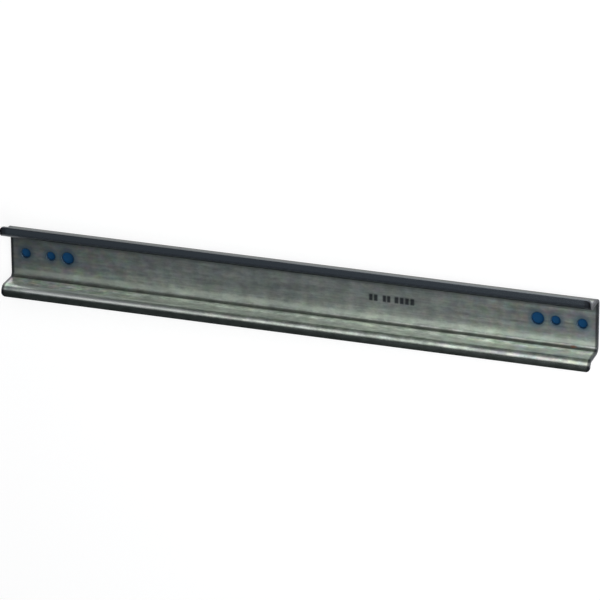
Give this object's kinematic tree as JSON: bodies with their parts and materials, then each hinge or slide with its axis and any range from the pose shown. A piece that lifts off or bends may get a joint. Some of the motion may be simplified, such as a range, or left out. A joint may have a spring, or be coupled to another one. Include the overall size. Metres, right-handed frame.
{
  "type": "din rail",
  "caption": "Top-hat mounting rail of folded steel sheet: a flat web with punched holes, two upright walls and two outward lips that clip-on devices hook over.",
  "frame": {"origin": "middle of the web's back face, the face that lies on the mounting plate", "axes": "+X along the rail, +Y across it from one lip to the other, +Z out of the channel towards the devices"},
  "size_m": [0.285, 0.035, 0.015],
  "materials": {
    "galvanised_steel": "galvanised, dull grey with fine lengthwise rolling marks"
  },
  "bodies": {
    "root": {"din_rail": "galvanised_steel"}
  },
  "joints": []
}
